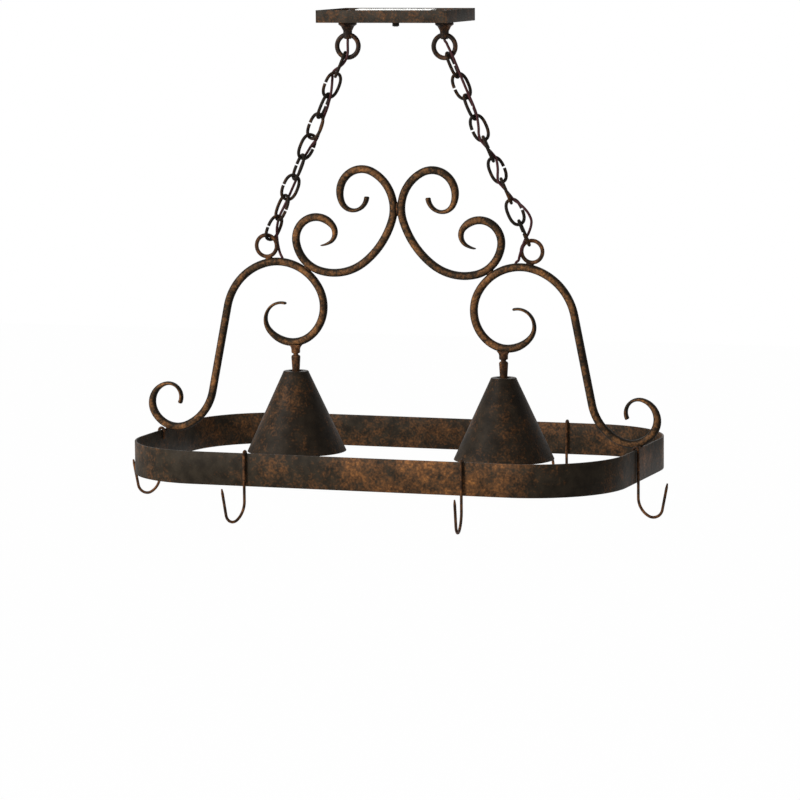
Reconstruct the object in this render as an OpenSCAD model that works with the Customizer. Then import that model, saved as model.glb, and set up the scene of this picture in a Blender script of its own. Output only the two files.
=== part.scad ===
// Lighted hanging pot rack: a flat-bar ring carried by forged scrollwork, two chains and a
// ceiling canopy, with two cone downlights on ball swivels and wire hooks that slide on the ring.
// Frame: millimetres, +Z up, +X to the right, origin at the middle of the ceiling face.

/* [Canopy] */
// Length of the ceiling canopy
canopy_l = 215; // [200:1:240]
// Depth of the canopy, front to back
canopy_w = 136; // [110:1:160]
// Height of the canopy
canopy_h = 19.5; // [18:0.5:26]
// Thickness of the canopy's sheet
canopy_t = 1.5; // [1:0.1:2]
// Length of the mounting strap against the ceiling
strap_l = 125; // [115:1:135]
// Width of the mounting strap and of the support bar
strap_w = 25; // [20:1:30]
// Thickness of the mounting strap and of the support bar
strap_t = 3; // [2.5:0.5:4]
// Distance between the strap's two screw slots
slot_spacing = 89; // [80:1:95]
// Length of a screw slot, end to end
slot_l = 12; // [8:1:16]
// Width of a screw slot
slot_w = 5.2; // [4:0.1:6]
// Diameter of the centre stud
stud_d = 7; // [5:0.5:8]
// Width of the nut under the canopy, across its corners
stud_nut_d = 11.5; // [11:0.5:16]
// Height of the nut under the canopy
stud_nut_h = 7; // [5:0.5:9]

/* [Ceiling loops] */
// Distance from the canopy's end to the middle of its loop
loop_inset = 27.5; // [20:0.5:40]
// Outer diameter of a loop's ring
loop_ring_d = 43; // [40:0.5:46]
// Wire thickness of a loop's ring
loop_wire_d = 7.5; // [6:0.5:8]
// Diameter of a loop's flange
loop_flange_d = 29; // [24:0.5:32]
// Height of a loop's flange
loop_flange_h = 7.5; // [6:0.5:9]
// Diameter of a loop's neck
loop_neck_d = 14; // [12:0.5:15]
// Height from the canopy to the middle of a loop's ring
loop_drop = 38.2; // [37:0.1:42]
// Diameter of a loop's threaded nipple
nipple_d = 10; // [9:0.5:11]
// Width across the corners of the nut on a nipple
nipple_nut_d = 17; // [15:0.5:20]
// Height of the nut on a nipple
nipple_nut_h = 4; // [3:0.5:4.5]

/* [Chains] */
// Inside length of a chain link
link_in_l = 35.7; // [32:0.1:38]
// Inside width of a chain link
link_in_w = 17.6; // [16:0.1:22]
// Wire thickness of a chain link
link_wire_d = 5.2; // [3:0.1:5.4]
// Width of the open joint in the side of a link
link_gap = 1.6; // [0.5:0.1:2.5]

/* [Ring] */
// Length of the ring, outside
ring_l = 800; // [760:5:860]
// Width of the ring, outside
ring_w = 480; // [420:5:560]
// Height of the ring's flat bar
ring_h = 51; // [40:1:64]
// Thickness of the ring's flat bar
ring_t = 3; // [2.5:0.1:3.4]
// Outer radius of the ring's corners
ring_r = 145; // [110:1:170]

/* [Scrollwork] */
// Diameter of the side scrolls' tube
side_d = 12.7; // [11:0.1:14]
// Wall of the side scrolls' tube where the lamp wire runs
side_wall = 1.5; // [1:0.1:2.5]
// Diameter of the top scrolls' bar
top_d = 12.7; // [10:0.1:14]
// Thickness of a side scroll at its inner tip
inner_tip_t = 4.5; // [3:0.1:8]
// Thickness of a side scroll at the tip of its foot
foot_tip_t = 7; // [3:0.1:9]
// Thickness of a top scroll at its upper tip
upper_tip_t = 8.5; // [3:0.1:10]
// Thickness of a top scroll at its lower tip
lower_tip_t = 2.4; // [2:0.1:8]
// Length over which a scroll's end is drawn out
tip_l = 105; // [60:1:108]
// Length of the straight leg of a side scroll
leg_l = 140; // [120:1:170]
// Distance from the ring's inner face to the lowest point of a side scroll's foot
foot_in = 17.3; // [10:0.1:25]
// Outer diameter of a frame eye
eye_d = 40.2; // [36:0.1:43]
// Wire thickness of a frame eye
eye_wire_d = 6.2; // [4:0.1:7]
// Distance between a frame eye and the lower curl of its top scroll
eye_gap = 24.4; // [16:0.1:32]

/* [Downlights] */
// Distance from the top of a side scroll to its downlight, towards the middle
lamp_in = 28.4; // [24:0.1:32]
// Diameter of the collar welded under a side scroll
collar_d = 14; // [13.6:0.1:16]
// Diameter of the stem's ball
ball_d = 10.4; // [9.6:0.1:10.6]
// Thickness of the liner around the ball
liner_t = 0.8; // [0.6:0.1:0.9]
// Diameter of the neck below the ball
neck_d = 8.2; // [7:0.1:8.4]
// Diameter of the stem's shoulder
shoulder_d = 14.5; // [13:0.5:16]
// Diameter of the stem where it meets the shade
stem_d = 11.8; // [10.5:0.1:13]
// Length of the stem from its shoulder to the top of the shade
stem_l = 25.4; // [20:0.2:40]
// Diameter across the top of a shade
shade_top_d = 41.4; // [40:0.2:48]
// Diameter across the mouth of a shade
shade_d = 157.4; // [140:0.2:175]
// Height of a shade
shade_h = 128; // [118:1:140]
// Thickness of a shade's sheet
shade_t = 1.2; // [0.8:0.1:1.6]
// Diameter of the recess in a shade's top
recess_d = 21; // [19:0.5:25]
// Depth of the recess in a shade's top
recess_h = 3; // [2:0.5:5]
// Diameter of a lamp socket
socket_d = 33; // [31:0.5:35]
// Height of a lamp socket
socket_h = 46; // [40:1:50]
// Diameter of a lamp's screw base
base_d = 26; // [25:0.1:27]
// Diameter of a lamp's glass face
bulb_d = 50; // [45:1:60]
// Length of a lamp below its socket
bulb_l = 50; // [40:1:60]

/* [Hooks] */
// Wire thickness of a hook
hook_d = 4.5; // [3.5:0.1:5]
// Length of a hook's lip behind the ring
lip_l = 14; // [8:1:24]
// Height of a hook from its top to its lowest point
hook_h = 111; // [100:1:140]
// Radius of the wide part of a hook's curve
hook_wide_r = 32; // [26:1:40]
// Radius of the tight part of a hook's curve
hook_tight_r = 15; // [12:1:20]
// Length of a hook's rising end
hook_end_l = 42; // [30:1:50]
// Place of the front left hook along the ring, from the middle
front_left_x = -167; // [-240:1:-20]
// Place of the front right hook along the ring, from the middle
front_right_x = 185; // [20:1:240]
// Place of the back left hook along the ring, from the middle
back_left_x = -227; // [-245:1:-20]
// Place of the back right hook along the ring, from the middle
back_right_x = 203; // [20:1:245]
// Place of the left end hook, from the middle of the ring's end
left_end_y = -20; // [-80:1:-14]
// Place of the right end hook, from the middle of the ring's end
right_end_y = -38; // [-80:1:-14]

/* [Lamp wire] */
// Diameter of the lamp wire
wire_d = 4.2; // [2.5:0.1:4.4]
// Diameter of a twist-on wire connector
connector_d = 11; // [9:0.5:12]
// Length of a twist-on wire connector
connector_l = 20; // [16:1:26]

/* [Hidden] */
$fn = 64;

// Colours of the finishes
bronze = [0.22, 0.14, 0.09];
dark_bronze = [0.13, 0.09, 0.07];
copper = [0.35, 0.2, 0.11];
zinc = [0.62, 0.62, 0.6];
porcelain = [0.9, 0.89, 0.85];
lamp_glass = [0.95, 0.95, 0.92];
wire_red = [0.2, 0.07, 0.06];
nylon = [0.85, 0.84, 0.8];
connector_grey = [0.3, 0.3, 0.32];

// Clearances: between pieces that are screwed together, turn in each other or only rest
fit_gap = 0.05;
swivel_gap = 0.15;
link_play = 0.3;
seat_gap = 0.05;
eps = 0.01;

// Heights inside the canopy, below the ceiling face
floor_z = -canopy_h + canopy_t;
bar_top_z = floor_z + strap_t;
nut_top_z = bar_top_z + nipple_nut_h;
nipple_top_z = nut_top_z + 2;
wire_bore_d = wire_d + 1.2;

// Loops and chains. A link hangs on the inside of the ring above it with the play link_play,
// so each chain lies on the straight line between the middles of its loop and its frame eye.
loop_x = canopy_l / 2 - loop_inset;
loop_z = -canopy_h - loop_drop;
loop_in_r = loop_ring_d / 2 - loop_wire_d;
neck_end_z = loop_z + loop_in_r - 2.9;
eye_in_r = eye_d / 2 - eye_wire_d;
link_count = 9;
link_pitch = link_in_l - link_play;
link_r = (link_in_w + link_wire_d) / 2;
link_straight = link_in_l / 2 - link_in_w / 2;
chain_l = loop_in_r + link_count * link_in_l - (link_count + 1) * link_play + eye_in_r;
first_link = loop_in_r - link_play + link_in_l / 2;

// How each link is turned about its chain, and the side its open joint is on
left_turns = [108, 35, 88, -15, 45, -50, 20, -35, 55];
right_turns = [90, 25, 85, 20, 105, 25, 108, 20, 105];
left_joints = [1, -1, 1, -1, 1, -1, -1, 1, -1];
right_joints = [1, -1, 1, -1, 1, 1, 1, 1, -1];

// A scroll is a list of runs, [radius, sweep] for an arc and [length, 0] for a straight one.
// A positive sweep turns anticlockwise in the XZ plane.
function turned(p, h, run) =
    run[1] == 0
    ? p + run[0] * [cos(h), sin(h)]
    : p + sign(run[1]) * run[0] * [sin(h + run[1]) - sin(h), cos(h) - cos(h + run[1])];
function along(p, h, runs, n, i = 0) =
    i == n ? [p[0], p[1], h] : along(turned(p, h, runs[i]), h + runs[i][1], runs, n, i + 1);
function arc_middle(p, h, runs, i) =
    let (a = along(p, h, runs, i), s = sign(runs[i][1]) * runs[i][0])
    [a[0] - s * sin(a[2]), a[1] + s * cos(a[2])];
function run_length(run) = run[1] == 0 ? run[0] : run[0] * abs(run[1]) * PI / 180;
function total(runs, n) = n == 0 ? 0 : run_length(runs[n - 1]) + total(runs, n - 1);
// Points [x, z, heading, distance] along the runs, a step every few degrees
function path(p, h, runs, step) = [
    for (i = [0 : len(runs) - 1])
    let (a = along(p, h, runs, i), n = runs[i][1] == 0 ? 4 : ceil(abs(runs[i][1]) / step))
    for (k = [(i == 0 ? 0 : 1) : n])
    let (part = runs[i][1] == 0 ? [runs[i][0] * k / n, 0] : [runs[i][0], runs[i][1] * k / n],
        q = k == 0 ? [a[0], a[1]] : turned([a[0], a[1]], a[2], part))
    [q[0], q[1], a[2] + part[1] * (k == 0 ? 0 : 1), total(runs, i) + (k == 0 ? 0 : run_length(part))]
];
// The same points in the other direction
function reversed(pts) = [for (i = [len(pts) - 1 : -1 : 0]) pts[i]];

// Side scroll, from the top of its arch: inwards round the loop to the inner tip, and outwards
// down the leg to the foot, which is welded on the ring's top edge
side_in = [[79, 61], [60, 82.5], [50, 87], [27, 146]];
side_out = [[79, -14.5], [92.5, -64], [leg_l, 0], [78, 54.5], [44, 84.5], [32, 106], [21, 133]];
foot_run = 4;
foot_r = side_out[foot_run][0];
foot_seat = foot_r + side_d / 2 + seat_gap;
foot = [ring_l / 2 - ring_t - foot_in, sqrt(foot_seat * foot_seat - foot_in * foot_in)];
side_top = foot - arc_middle([0, 0], 0, side_out, foot_run);
arch = side_top - [0, side_in[0][0]];

// Top scroll, from the weld on the middle line: up to its upper tip and down to its lower tip.
// Its lower arc touches the arch of the side scroll.
top_up = [[64, -63], [37.5, -141], [21, -87], [23.5, -66]];
top_down = [[64, 18], [136, 34.5], [86, 52], [55, 66], [35, 150], [18, 100], [40, 22]];
touch_run = 3;
touch_middle = arc_middle([0, 0], -90, top_down, touch_run);
touch_reach = side_in[0][0] + side_d / 2 + top_down[touch_run][0] + top_d / 2 + seat_gap;
weld_x = top_d / 2 + seat_gap;
touch_dx = arch[0] - weld_x - touch_middle[0];
weld = [weld_x, arch[1] + sqrt(touch_reach * touch_reach - touch_dx * touch_dx) - touch_middle[1]];

// Frame eye: it touches the arch and stands eye_gap from the top scroll's lower curl. The chains
// then give the height of the ring's top edge.
eye_reach = side_in[0][0] + side_d / 2 + eye_d / 2 + seat_gap;
curl_reach = top_down[touch_run][0] + top_d / 2 + eye_d / 2 + eye_gap;
touch = weld + touch_middle - arch;
eye_from_touch = acos((pow(eye_reach, 2) + pow(touch_reach, 2) - pow(curl_reach, 2))
    / (2 * eye_reach * touch_reach));
eye_lean = atan2(touch[0], touch[1]) + eye_from_touch;
eye = arch + eye_reach * [sin(eye_lean), cos(eye_lean)];
chain_dx = eye[0] - loop_x;
chain_dz = sqrt(chain_l * chain_l - chain_dx * chain_dx);
chain_lean = asin(chain_dx / chain_l);
eye_z = loop_z - chain_dz;
ring_z = eye_z - eye[1];

// Downlight: its axis meets the bottom of the side scroll's loop
lamp_x = side_top[0] - lamp_in;
lamp_run = 2;
loop_middle = arc_middle(side_top, 180, side_in, lamp_run);
lamp_dx = lamp_x - loop_middle[0];
lamp_seat = loop_middle[1] - sqrt(pow(side_in[lamp_run][0], 2) - lamp_dx * lamp_dx);
lamp_slope = asin(lamp_dx / side_in[lamp_run][0]);
saddle_z = lamp_seat - side_d / 2 + 2;
ball_z = saddle_z - 11;
cup_d = ball_d + 2 * liner_t + 4 * swivel_gap;
cup_edge = 2.2;
collar_end = ball_z - cup_edge;
shoulder_z = collar_end - 2.8;
shade_top_z = shoulder_z - stem_l;
recess_z = shade_top_z - recess_h;
shade_end_z = shade_top_z - shade_h;
socket_top_z = recess_z - shade_t;
socket_end_z = socket_top_z - socket_h;
socket_floor = 16;
bulb_end_z = socket_end_z - bulb_l;

// Lamp wire inside the side scroll: from the entry hole to the collar
entry_turn = 5.7;
bore_start = 2;
bore_past = 4;
bore_d = side_d - 2 * side_wall;
exit_turn = 360 - 180 - side_in[0][1] - side_in[1][1] + lamp_slope;
function from_turn(t) = [
    arch[0] - side_in[0][0] * sin(t), arch[1] + side_in[0][0] * cos(t)];
function bore_runs(t, past) =
    [[side_in[0][0], side_in[0][1] - t], side_in[1], [side_in[2][0], exit_turn + past]];
entry = from_turn(entry_turn);

// Hook, seen from the side: its top bend straddles the ring's bar
hook_slack = 0.4;
bend_r = ring_t / 2 + hook_slack + hook_d / 2;
bend_drop = sqrt(pow(bend_r - hook_d / 2 - 0.1, 2) - ring_t * ring_t / 4);
hook_wide_sweep = 60;
hook_tight_sweep = 109;
hook_bottom = (hook_wide_r - hook_tight_r) * sin(hook_wide_sweep) + hook_tight_r;
shank_end = bend_r + hook_d / 2 - bend_drop - hook_h + hook_d / 2 + hook_bottom;

// Routes of the lamp wires, [along the chain, sideways towards +X, backwards], from the
// middle of the loop: round the loop, through the links and past the frame eye
left_route = [[-4, -1.5, -1], [3, 2.5, -3], [9, 6, -5.5], [15, 7.5, -6.5], [22, 7, -6],
    [28, 5, -4], [35, 1, -1.5], [42, -4.5, 1.5], [49, -7, 2], [58, -3.5, 1], [67, 0, 0],
    [76, 3.5, -2], [84.5, 6, -3.5], [93, 6.5, -2], [102, 7, 0], [111, 6.5, 2.5],
    [120, 6, 4.5], [129, 7, 4], [138, 8, 3], [147, 9, 4], [156, 9.5, 2.5], [164, 7, 2],
    [173, 4, 5], [182, 2, 7], [191, 0.5, 7.5], [209, 1, 7], [226, 2, 7], [244, 1.5, 7],
    [262, 1, 7], [279, 0, 7], [297, -1, 7], [306, 1, 5.5], [314, 3.5, 4], [321, 6.5, 4],
    [328, 9.5, 5], [336, 14, 5.5], [344, 20, 5], [349, 25.5, 3]];
right_route = [[-4, 5.5, -1], [3, 6.5, -3.5], [9, 7.5, -5.5], [16, 8, -6.5], [24, 8, -6],
    [36, 7.5, -5], [49, 7, -4.5], [67, 7, -5], [85, 7, -5], [102, 7, -4.5], [111, 6, -4.5],
    [120, 5.5, -4.5], [129, 3.5, -5.5], [138, 1, -6.5], [147, -2.5, -7], [156, -3.5, -6.5],
    [164, -1.5, -6], [173, 1.5, -5.5], [182, 4.5, -4], [191, 6.5, -3], [200, 5.5, -4.5],
    [209, 3, -6], [218, -1, -7], [226, -3.5, -7], [235, -1, -6], [244, 2, -5.5],
    [253, 4.5, -4], [262, 7, -3.5], [270, 12.5, -4], [280, 17.5, -4.5], [291, 20.5, -4.5],
    [301, 20.5, -4.5], [308, 17.5, -5], [314, 12.5, -5], [319, 7, -4.5], [323, 1.5, -5],
    [328, -4, -5.5], [337, -12.5, -6.5], [345, -20, -5], [350, -25, -2]];
// From the wire connector to the inside of the loop's nipple, for the right side: [x, y, z]
canopy_route = [[47, 27, -12.4], [55, 27, -12], [62, 26, -10.5], [69, 22, -8], [75, 16, -5.5],
    [78, 10, -4], [80, 5, -3.5], [80, 1.5, -4.5], [80, 0, -8]];

// A bar of elliptical section along points [x, z, heading, distance], thinner at its tips
module swept(pts, sides, in_plane, across) {
    n = len(pts);
    rings = [for (i = [0 : n - 1]) for (k = [0 : sides - 1])
        let (a = 360 * k / sides, r = in_plane[i] * cos(a), h = pts[i][2])
        [pts[i][0] - r * sin(h), -across[i] * sin(a), pts[i][1] + r * cos(h)]];
    walls = [for (i = [0 : n - 2]) for (k = [0 : sides - 1])
        let (a = i * sides + k, b = i * sides + (k + 1) % sides)
        each [[a, a + sides, b], [b, a + sides, b + sides]]];
    ends = [[for (k = [0 : sides - 1]) k], [for (k = [sides - 1 : -1 : 0]) (n - 1) * sides + k]];
    polyhedron(rings, concat(walls, ends), convexity = 10);
}

// The forged ends: [thickness at the tip, thickness further in, how far in, where it starts]
inner_end = [inner_tip_t, side_d * 0.35, 30, tip_l];
foot_end = [foot_tip_t, side_d * 0.4, 28, tip_l];
upper_end = [upper_tip_t, top_d * 0.48, 25, tip_l * 0.85];
lower_end = [lower_tip_t, top_d * 0.72, 36, tip_l * 0.6];

// Thickness of a bar of diameter d at the distance s from a forged end
function forged(d, end, s) =
    s < end[2] ? end[0] + (end[1] - end[0]) * s / end[2]
    : let (t = min(1, (s - end[2]) / (end[3] - end[2])))
      end[1] + (d - end[1]) * t * t * (3 - 2 * t);

// Radii along a scroll, in the plane of its curls and across it
function thinned(pts, d, full, first, last) = [for (p = pts)
    (p[3] < full / 2 ? forged(d, first, p[3]) : forged(d, last, full - p[3])) / 2];
function widened(pts, d, full) = [for (p = pts)
    let (t = min(1, min(p[3], full - p[3]) / tip_l))
    d / 2 * (0.86 + 0.14 * t)];

// Points of a whole scroll: the inner or upper part reversed, then the other part
function whole(p, h_back, back, h_ahead, ahead, step) =
    let (b = path(p, h_back, back, step), a = path(p, h_ahead, ahead, step),
        back_l = total(back, len(back)), whole_turns = h_turn(h_back, h_ahead))
    concat(
        [for (q = reversed(b)) [q[0], q[1], q[2] + 180, back_l - q[3]]],
        [for (i = [1 : len(a) - 1]) [a[i][0], a[i][1], a[i][2] + whole_turns, back_l + a[i][3]]]);
function h_turn(h_back, h_ahead) = 360 * round((h_back + 180 - h_ahead) / 360);

scroll_step = 9;
side_pts = whole(side_top, 180, side_in, 0, side_out, scroll_step);
side_full = total(side_in, len(side_in)) + total(side_out, len(side_out));
top_pts = whole(weld, 90, top_up, -90, top_down, scroll_step);
top_full = total(top_up, len(top_up)) + total(top_down, len(top_down));

module on_side(side) {
    if (side < 0) mirror([1, 0, 0]) children();
    else children();
}
module at_ring() { translate([0, 0, ring_z]) children(); }

module hex_nut(d, h, hole) {
    difference() {
        cylinder(d = d, h = h, $fn = 6);
        translate([0, 0, -1]) cylinder(d = hole, h = h + 2);
    }
}

// Ceiling fixing ----------------------------------------------------------------------------

module mounting_strap() {
    color(zinc)
    translate([0, 0, -strap_t])
    difference() {
        translate([-strap_l / 2, -strap_w / 2, 0]) cube([strap_l, strap_w, strap_t]);
        for (s = [-1, 1]) translate([s * slot_spacing / 2, 0, -1]) {
            translate([-(slot_l - slot_w) / 2, -slot_w / 2, 0])
                cube([slot_l - slot_w, slot_w, strap_t + 2]);
            for (e = [-1, 1]) translate([e * (slot_l - slot_w) / 2, 0, 0])
                cylinder(d = slot_w, h = strap_t + 2);
        }
    }
}

// Holes through a sheet of thickness t for the centre stud and the loops' nipples
module fixing_holes(t) {
    translate([0, 0, -1]) cylinder(d = stud_d + 2 * fit_gap, h = t + 2);
    for (s = [-1, 1]) translate([s * loop_x, 0, -1])
        cylinder(d = nipple_d + 2 * fit_gap, h = t + 2);
}

module canopy() {
    color(bronze)
    translate([0, 0, -canopy_h])
    difference() {
        translate([-canopy_l / 2, -canopy_w / 2, 0]) cube([canopy_l, canopy_w, canopy_h - eps]);
        translate([-canopy_l / 2 + canopy_t, -canopy_w / 2 + canopy_t, canopy_t])
            cube([canopy_l - 2 * canopy_t, canopy_w - 2 * canopy_t, canopy_h]);
        fixing_holes(canopy_t);
    }
}

module support_bar() {
    bar_l = 2 * loop_x + strap_w;
    color(zinc)
    translate([0, 0, floor_z])
    difference() {
        translate([-bar_l / 2, -strap_w / 2, 0]) cube([bar_l, strap_w, strap_t]);
        fixing_holes(strap_t);
    }
}

module centre_stud() {
    stud_l = canopy_h + stud_nut_h + 1 - strap_t;
    color(zinc)
    translate([0, 0, -strap_t - stud_l]) cylinder(d = stud_d, h = stud_l);
}

module centre_nut() {
    color(dark_bronze)
    translate([0, 0, -canopy_h - stud_nut_h]) hex_nut(stud_nut_d, stud_nut_h, stud_d + 2 * fit_gap);
}

module loop_nuts() {
    color(zinc)
    for (s = [-1, 1]) translate([s * loop_x, 0, bar_top_z])
        hex_nut(nipple_nut_d, nipple_nut_h, nipple_d + 2 * fit_gap);
}

module ceiling_loop(side) {
    flange_r = loop_flange_d / 2;
    neck_r = loop_neck_d / 2;
    flange_end_z = -canopy_h - loop_flange_h;
    round_r = 2;
    color(copper)
    translate([side * loop_x, 0, 0])
    difference() {
        union() {
            rotate_extrude() polygon([
                [0, neck_end_z], [neck_r - round_r, neck_end_z], [neck_r, neck_end_z + round_r],
                [neck_r, flange_end_z - 7], [flange_r - 4, flange_end_z],
                [flange_r, flange_end_z + 3], [flange_r, -canopy_h - round_r],
                [flange_r - round_r, -canopy_h], [nipple_d / 2, -canopy_h],
                [nipple_d / 2, nipple_top_z], [0, nipple_top_z]]);
            translate([0, 0, loop_z]) rotate([90, 0, 0]) rotate_extrude()
                translate([loop_ring_d / 2 - loop_wire_d / 2, 0]) circle(d = loop_wire_d);
        }
        translate([0, 0, neck_end_z - 1]) cylinder(d = wire_bore_d, h = nipple_top_z - neck_end_z + 2);
    }
}

module wire_connectors() {
    mouth = canopy_route[0][0] + 3;
    color(connector_grey)
    for (s = [-1, 1]) on_side(s)
    translate([mouth, canopy_route[0][1], floor_z + connector_d / 2 + seat_gap])
    rotate([0, -90, 0])
    difference() {
        rotate_extrude() polygon([[0, 0], [connector_d / 2, 0], [connector_d / 2, connector_l * 0.3],
            [connector_d * 0.3, connector_l], [0, connector_l]]);
        translate([0, 0, -1]) cylinder(d = wire_bore_d, h = 4.5);
    }
}

// Chains --------------------------------------------------------------------------------------

// Places its children on a chain: +Z up along the chain, distances from the middle of the loop
module on_chain(side, distance) {
    translate([side * loop_x, 0, loop_z])
    rotate([0, -side * chain_lean, 0])
    translate([0, 0, -distance])
    children();
}

module chain_link(side, i) {
    turns = side < 0 ? left_turns : right_turns;
    joints = side < 0 ? left_joints : right_joints;
    color(dark_bronze)
    on_chain(side, first_link + i * link_pitch)
    rotate([0, 0, turns[i]])
    difference() {
        for (s = [0, 180]) rotate([0, s, 0]) {
            translate([0, 0, link_straight]) rotate([90, 0, 0]) rotate_extrude(angle = 180)
                translate([link_r, 0]) circle(d = link_wire_d);
            translate([link_r, 0, -link_straight]) cylinder(d = link_wire_d, h = 2 * link_straight);
        }
        translate([joints[i] * link_r - link_wire_d, -link_wire_d, -link_gap / 2])
            cube([2 * link_wire_d, 2 * link_wire_d, link_gap]);
    }
}

// Ring and scrollwork ---------------------------------------------------------------------------

module rounded_slab(l, w, r, h) {
    linear_extrude(h) union() {
        square([l - 2 * r, w], center = true);
        square([l, w - 2 * r], center = true);
        for (x = [-1, 1]) for (y = [-1, 1])
            translate([x * (l / 2 - r), y * (w / 2 - r)]) circle(r = r, $fn = 128);
    }
}

module ring_band() {
    color(bronze)
    at_ring() translate([0, 0, -ring_h])
    difference() {
        rounded_slab(ring_l, ring_w, ring_r, ring_h);
        translate([0, 0, -1])
            rounded_slab(ring_l - 2 * ring_t, ring_w - 2 * ring_t, ring_r - ring_t, ring_h + 2);
    }
}

module side_scroll(side) {
    bore_pts = path(from_turn(bore_start), 180 + bore_start, bore_runs(bore_start, bore_past), scroll_step);
    bore_r = [for (p = bore_pts) bore_d / 2];
    color(bronze)
    at_ring() on_side(side)
    difference() {
        swept(side_pts, 12, thinned(side_pts, side_d, side_full, inner_end, foot_end),
            widened(side_pts, side_d, side_full));
        swept(bore_pts, 8, bore_r, bore_r);
        translate([entry[0], 0, entry[1]]) cylinder(d = wire_d + 3, h = side_d);
        translate([lamp_x, 0, lamp_seat - side_d]) cylinder(d = wire_bore_d, h = side_d);
    }
}

module top_scroll(side) {
    color(bronze)
    at_ring() on_side(side)
    swept(top_pts, 12, thinned(top_pts, top_d, top_full, upper_end, lower_end),
        widened(top_pts, top_d, top_full));
}

module frame_eye(side) {
    color(copper)
    translate([side * eye[0], 0, eye_z]) rotate([90, 0, 0]) rotate_extrude()
        translate([eye_d / 2 - eye_wire_d / 2, 0]) circle(d = eye_wire_d);
}

// Downlights ------------------------------------------------------------------------------------

module at_lamp(side) {
    translate([side * lamp_x, 0, ring_z]) children();
}

// Cup under the side scroll: a saddle that flares out along the tube above, a ball seat below
module collar(side) {
    collar_r = collar_d / 2;
    edge = 0.6;
    brow = 4;
    color(copper)
    at_lamp(side)
    difference() {
        intersection() {
            rotate_extrude() polygon([
                [0, collar_end], [collar_r - edge, collar_end], [collar_r, collar_end + 3 * edge],
                [collar_r, saddle_z - 7], [collar_r + 0.15 * brow, saddle_z - 4.5],
                [collar_r + 0.5 * brow, saddle_z - 2.2], [collar_r + brow, saddle_z], [0, saddle_z]]);
            translate([-2 * collar_r, -collar_r - 0.2, collar_end - 1])
                cube([4 * collar_r, 2 * collar_r + 0.4, saddle_z - collar_end + 2]);
        }
        translate([0, 0, ball_z]) sphere(d = cup_d);
        translate([0, 0, ball_z]) cylinder(d = wire_bore_d, h = saddle_z - ball_z + 1);
        translate([0, 0, lamp_seat]) rotate([0, 90 - side * lamp_slope, 0])
            cylinder(d = side_d + 2 * seat_gap, h = 4 * side_d, center = true);
    }
}

// Spherical liner between the cup and the stem's ball
module swivel_liner(side) {
    liner_d = cup_d - 2 * swivel_gap;
    liner_end = cup_edge - 0.6;
    color(nylon)
    at_lamp(side) translate([0, 0, ball_z])
    difference() {
        sphere(d = liner_d);
        sphere(d = ball_d + 2 * swivel_gap);
        translate([0, 0, -liner_d - liner_end]) cylinder(d = 2 * liner_d, h = liner_d);
        cylinder(d = ball_d * 0.72, h = liner_d);
    }
}

module stem(side) {
    color(copper)
    at_lamp(side)
    difference() {
        union() {
            translate([0, 0, ball_z]) sphere(d = ball_d);
            rotate_extrude() polygon([[0, socket_top_z - 12], [nipple_r(), socket_top_z - 12],
                [nipple_r(), recess_z], [stem_d / 2, recess_z], [stem_d / 2, shade_top_z],
                [shoulder_d / 2, shoulder_z - 3], [shoulder_d / 2 - 0.7, shoulder_z - 1.3],
                [shoulder_d / 2 - 2, shoulder_z - 0.3], [neck_d / 2, shoulder_z],
                [neck_d / 2, ball_z - 1], [0, ball_z - 1]]);
        }
        translate([0, 0, socket_top_z - 13]) cylinder(d = wire_bore_d, h = 60);
    }
}
function nipple_r() = stem_d / 2 - 1.2;

module shade(side) {
    top_r = shade_top_d / 2;
    mouth_r = shade_d / 2;
    round_r = 2.5;
    wall = shade_t;
    slope = (mouth_r - top_r) / (shade_h - round_r);
    skew = wall * sqrt(1 + slope * slope);
    round_steps = 6;
    function edge(r) = [for (k = [0 : round_steps])
        let (a = 90 * k / round_steps)
        [top_r - round_r + r * cos(a), shade_top_z - round_r + r * sin(a)]];
    color(bronze)
    at_lamp(side)
    rotate_extrude($fn = 96) polygon(concat(
        [[mouth_r, shade_end_z]],
        edge(round_r),
        [[recess_d / 2 + 1, shade_top_z], [recess_d / 2, shade_top_z - 1], [recess_d / 2, recess_z],
        [nipple_r() + fit_gap, recess_z], [nipple_r() + fit_gap, recess_z - wall],
        [recess_d / 2 + wall, recess_z - wall], [recess_d / 2 + wall, shade_top_z - wall]],
        [for (k = [round_steps : -1 : 0]) edge(round_r - wall)[k]],
        [[mouth_r - skew, shade_end_z]]));
}

module socket(side) {
    socket_r = socket_d / 2;
    color(porcelain)
    at_lamp(side)
    rotate_extrude() polygon([[nipple_r() + fit_gap, socket_top_z], [socket_r - 3, socket_top_z],
        [socket_r, socket_top_z - 3], [socket_r, socket_end_z + 1], [socket_r - 1, socket_end_z],
        [base_d / 2 + link_play, socket_end_z], [base_d / 2 + link_play, socket_top_z - socket_floor],
        [nipple_r() + fit_gap, socket_top_z - socket_floor]]);
}

module bulb(side) {
    base_top_z = socket_top_z - socket_floor - 1;
    bulb_r = bulb_d / 2;
    color(lamp_glass)
    at_lamp(side)
    rotate_extrude() polygon([[0, base_top_z], [4, base_top_z], [5, base_top_z - 2],
        [base_d / 2 - 1, base_top_z - 4], [base_d / 2, base_top_z - 5], [base_d / 2, socket_end_z - 1],
        [base_d / 2 + 2, socket_end_z - 4], [bulb_r - 5, bulb_end_z + 16], [bulb_r - 1, bulb_end_z + 8],
        [bulb_r, bulb_end_z + 5], [bulb_r - 1, bulb_end_z + 3], [bulb_r * 0.6, bulb_end_z + 0.8],
        [0, bulb_end_z]]);
}

module stem_wire(side) {
    end_z = socket_top_z - 11.5;
    color(wire_red)
    at_lamp(side) translate([0, 0, end_z]) cylinder(d = wire_d, h = ball_z - end_z, $fn = 24);
}

// Lamp wires ------------------------------------------------------------------------------------

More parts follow.
